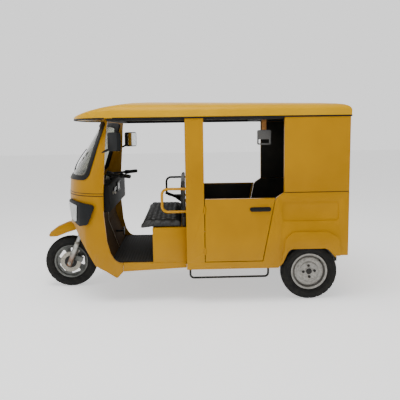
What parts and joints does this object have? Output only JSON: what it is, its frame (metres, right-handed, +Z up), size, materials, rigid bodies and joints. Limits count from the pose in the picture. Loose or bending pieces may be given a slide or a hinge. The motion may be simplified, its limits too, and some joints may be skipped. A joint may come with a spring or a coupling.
{
  "type": "electric three-wheeler",
  "caption": "Yellow electric passenger three-wheeler with a steered front wheel, open driver's place, half-height rear doors, closed rear quarters and a moulded roof.",
  "frame": {"origin": "ground level below the middle of the vehicle's length and width", "axes": "+X forward, +Y to the vehicle's left, +Z up"},
  "size_m": [2.705, 1.4376, 1.703],
  "materials": {
    "body_paint": "glossy yellow paint",
    "black_steel": "satin black paint",
    "axle_steel": "bare and silver painted steel",
    "battery_case": "moulded case",
    "floor_rubber": "matte black rubber",
    "screen_glass": "clear laminated glass",
    "black_plastic": "moulded black plastic",
    "lamp_lens": "clear moulded lens",
    "tail_lens": "red moulded lens",
    "seat_vinyl": "black pleated vinyl",
    "mirror_glass": "silvered glass",
    "strap_webbing": "woven tan webbing",
    "grey_plastic": "moulded grey plastic",
    "cast_alloy": "cast alloy",
    "rim_silver": "silver painted pressed steel",
    "tyre_rubber": "black tyre rubber"
  },
  "bodies": {
    "body": {"chassis_rails": "black_steel", "cross_members": "black_steel", "steering_head": "black_steel", "steering_posts": "black_steel", "leaf_springs": "black_steel", "rear_axle": "axle_steel", "battery_pack": "battery_case", "floor_pan": "body_paint", "floor_mat": "floor_rubber", "front_sills": "body_paint", "front_apron": "body_paint", "front_cowl": "body_paint", "windscreen": "screen_glass", "windscreen_seal": "floor_rubber", "wiper": "black_plastic", "lamp_housings": "black_plastic", "lamp_lenses": "lamp_lens", "dashboard": "black_plastic", "driver_controls": "black_steel", "seat_box": "body_paint", "partition": "body_paint", "driver_cushion": "seat_vinyl", "driver_backrest": "seat_vinyl", "arm_loops": "body_paint", "door_pillars": "body_paint", "lower_quarters": "body_paint", "upper_quarters": "body_paint", "wheel_tubs": "black_steel", "rear_panel": "body_paint", "rear_window": "screen_glass", "tail_lamps": "tail_lens", "passenger_bench": "black_steel", "passenger_cushion": "seat_vinyl", "passenger_backrest": "seat_vinyl", "roof": "body_paint", "roof_rails": "black_steel", "roof_bows": "black_steel", "mirrors": "black_plastic", "mirror_glasses": "mirror_glass", "hand_strap": "strap_webbing", "strap_handle": "grey_plastic", "side_steps": "black_steel"},
    "left_door": {"left_door_panel": "body_paint", "left_door_handle": "black_plastic"},
    "right_door": {"right_door_panel": "body_paint", "right_door_handle": "black_plastic"},
    "steering": {"fork": "axle_steel", "handlebar": "black_steel", "grips": "floor_rubber", "front_fender": "body_paint"},
    "front_wheel": {"front_rim": "cast_alloy", "front_tyre": "tyre_rubber"},
    "rear_left_wheel": {"rear_left_rim": "rim_silver", "rear_left_tyre": "tyre_rubber"},
    "rear_right_wheel": {"rear_right_rim": "rim_silver", "rear_right_tyre": "tyre_rubber"}
  },
  "joints": [
    {"name": "steer", "type": "hinge", "parent": "body", "child": "steering", "pos_m": [1.06614, 0, 0.22127], "axis": [-0.3746, 0, 0.9272], "range_deg": [-40, 40]},
    {"name": "front_wheel_spin", "type": "hinge", "parent": "steering", "child": "front_wheel", "pos_m": [1.1125, 0, 0.24], "axis": [0, 1, 0], "continuous": true},
    {"name": "rear_left_spin", "type": "hinge", "parent": "body", "child": "rear_left_wheel", "pos_m": [-1.0275, 0.535, 0.24], "axis": [0, 1, 0], "continuous": true},
    {"name": "rear_right_spin", "type": "hinge", "parent": "body", "child": "rear_right_wheel", "pos_m": [-1.0275, -0.535, 0.24], "axis": [0, 1, 0], "continuous": true},
    {"name": "left_door_hinge", "type": "hinge", "parent": "body", "child": "left_door", "pos_m": [-0.13448, 0.677, 0.37], "axis": [0, 0, -1], "range_deg": [0, 70]},
    {"name": "right_door_hinge", "type": "hinge", "parent": "body", "child": "right_door", "pos_m": [-0.13448, -0.677, 0.37], "axis": [0, 0, 1], "range_deg": [0, 70]}
  ]
}
